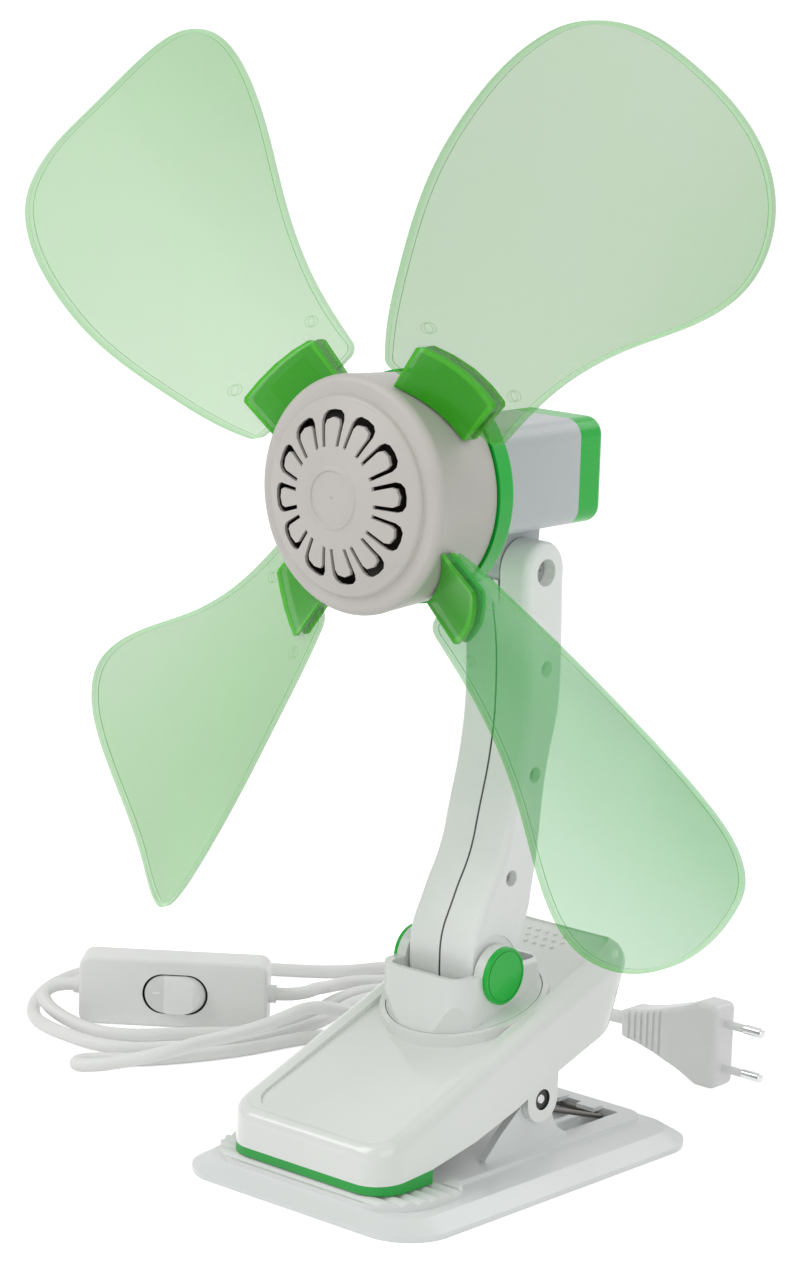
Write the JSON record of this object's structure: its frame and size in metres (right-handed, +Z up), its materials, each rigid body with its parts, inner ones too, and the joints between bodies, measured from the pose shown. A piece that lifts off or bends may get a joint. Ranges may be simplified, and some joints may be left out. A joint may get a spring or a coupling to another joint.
{
  "type": "clip fan",
  "caption": "Clip-on table fan: soft pitched blades on a capped hub, tilting motor head, jointed arm, swivelling turret on a sprung clip, lead with in-line switch and flat plug",
  "frame": {"origin": "middle of the base plate, on the surface it stands on", "axes": "+Z up, +Y from the blades towards the motor and the clip's tail, +X to the right seen from the front; the swivel, the arm and the head stand at their middle settings"},
  "size_m": [0.4301, 0.2626, 0.4313],
  "materials": {
    "clip_white": "glossy moulded shell",
    "base_white": "satin moulded plate",
    "pad_white": "soft toothed pad",
    "pad_green": "soft green strip",
    "trim_green": "glossy green moulding",
    "turret_white": "glossy moulded collar",
    "arm_white": "satin moulded arm",
    "housing_grey": "satin moulded box",
    "hub_grey": "matt warm grey moulding",
    "blade_soft": "soft translucent sheet with thick root",
    "steel": "plain fastener steel",
    "core_steel": "stacked sheet steel",
    "winding": "enamelled wire",
    "bush": "sintered bush",
    "cord_white": "round flexible lead",
    "switch_white": "satin moulded case",
    "plug_white": "moulded plug",
    "pin_metal": "plated pin"
  },
  "bodies": {
    "clip_base": {"lower_jaw": "base_white", "lower_grip_pad": "pad_white", "hinge_pin": "steel", "pin_retainers": "core_steel", "clip_spring": "steel", "cord_gland": "cord_white", "cord_fan": "cord_white", "cord_plug": "cord_white", "switch_front_shell": "switch_white", "switch_back_shell": "switch_white", "switch_screws": "steel", "plug_body": "plug_white", "plug_pins": "pin_metal", "plug_sleeves": "plug_white"},
    "clip_upper": {"upper_jaw": "clip_white", "upper_grip_pad": "pad_green"},
    "swivel": {"turret": "turret_white", "turret_washer": "steel", "turret_screws": "steel", "turret_cap_right": "trim_green", "turret_cap_left": "trim_green", "arm_pivot_bolt": "steel", "arm_pivot_nut": "steel"},
    "arm": {"arm_right_shell": "arm_white", "arm_left_shell": "arm_white", "arm_screws": "steel", "tilt_bolt": "steel", "tilt_nut": "steel"},
    "head": {"motor_housing": "housing_grey", "housing_rear_cap": "trim_green", "housing_screws": "steel", "motor_ring": "trim_green", "motor_stator": "core_steel", "motor_coils": "winding", "motor_bracket": "housing_grey", "bearing_front": "bush", "bearing_rear": "bush"},
    "rotor": {"motor_shaft": "steel", "motor_core": "core_steel", "rotor_drum": "hub_grey", "hub_cap": "hub_grey", "shaft_nut": "steel", "blade_1": "blade_soft", "blade_2": "blade_soft", "blade_3": "blade_soft", "blade_4": "blade_soft"},
    "rocker": {"switch_rocker": "switch_white"}
  },
  "joints": [
    {"name": "clip_hinge", "type": "hinge", "parent": "clip_base", "child": "clip_upper", "pos_m": [0, 0.016, 0.027], "axis": [-1, 0, 0], "range_deg": [0, 25], "stiffness_Nm_per_rad": 1.2, "springref_deg": -51.57, "deforming": ["clip_spring"]},
    {"name": "turret_swivel", "type": "hinge", "parent": "clip_upper", "child": "swivel", "pos_m": [0, 0.0127, 0.0608], "axis": [0, -0.2756, 0.9613], "range_deg": [-60, 60]},
    {"name": "arm_tilt", "type": "hinge", "parent": "swivel", "child": "arm", "pos_m": [0, 0.0089, 0.0733], "axis": [1, 0, 0], "range_deg": [-25, 3]},
    {"name": "head_tilt", "type": "hinge", "parent": "arm", "child": "head", "pos_m": [0, 0.0321, 0.2229], "axis": [-1, 0, 0], "range_deg": [-3, 30]},
    {"name": "rotor_spin", "type": "hinge", "parent": "head", "child": "rotor", "pos_m": [0, 0, 0.2594], "axis": [0, 1, 0], "continuous": true},
    {"name": "switch_rock", "type": "hinge", "parent": "clip_base", "child": "rocker", "pos_m": [-0.18121, 0.04176, 0.0145], "axis": [0, 0, 1], "range_deg": [0, 12]}
  ]
}
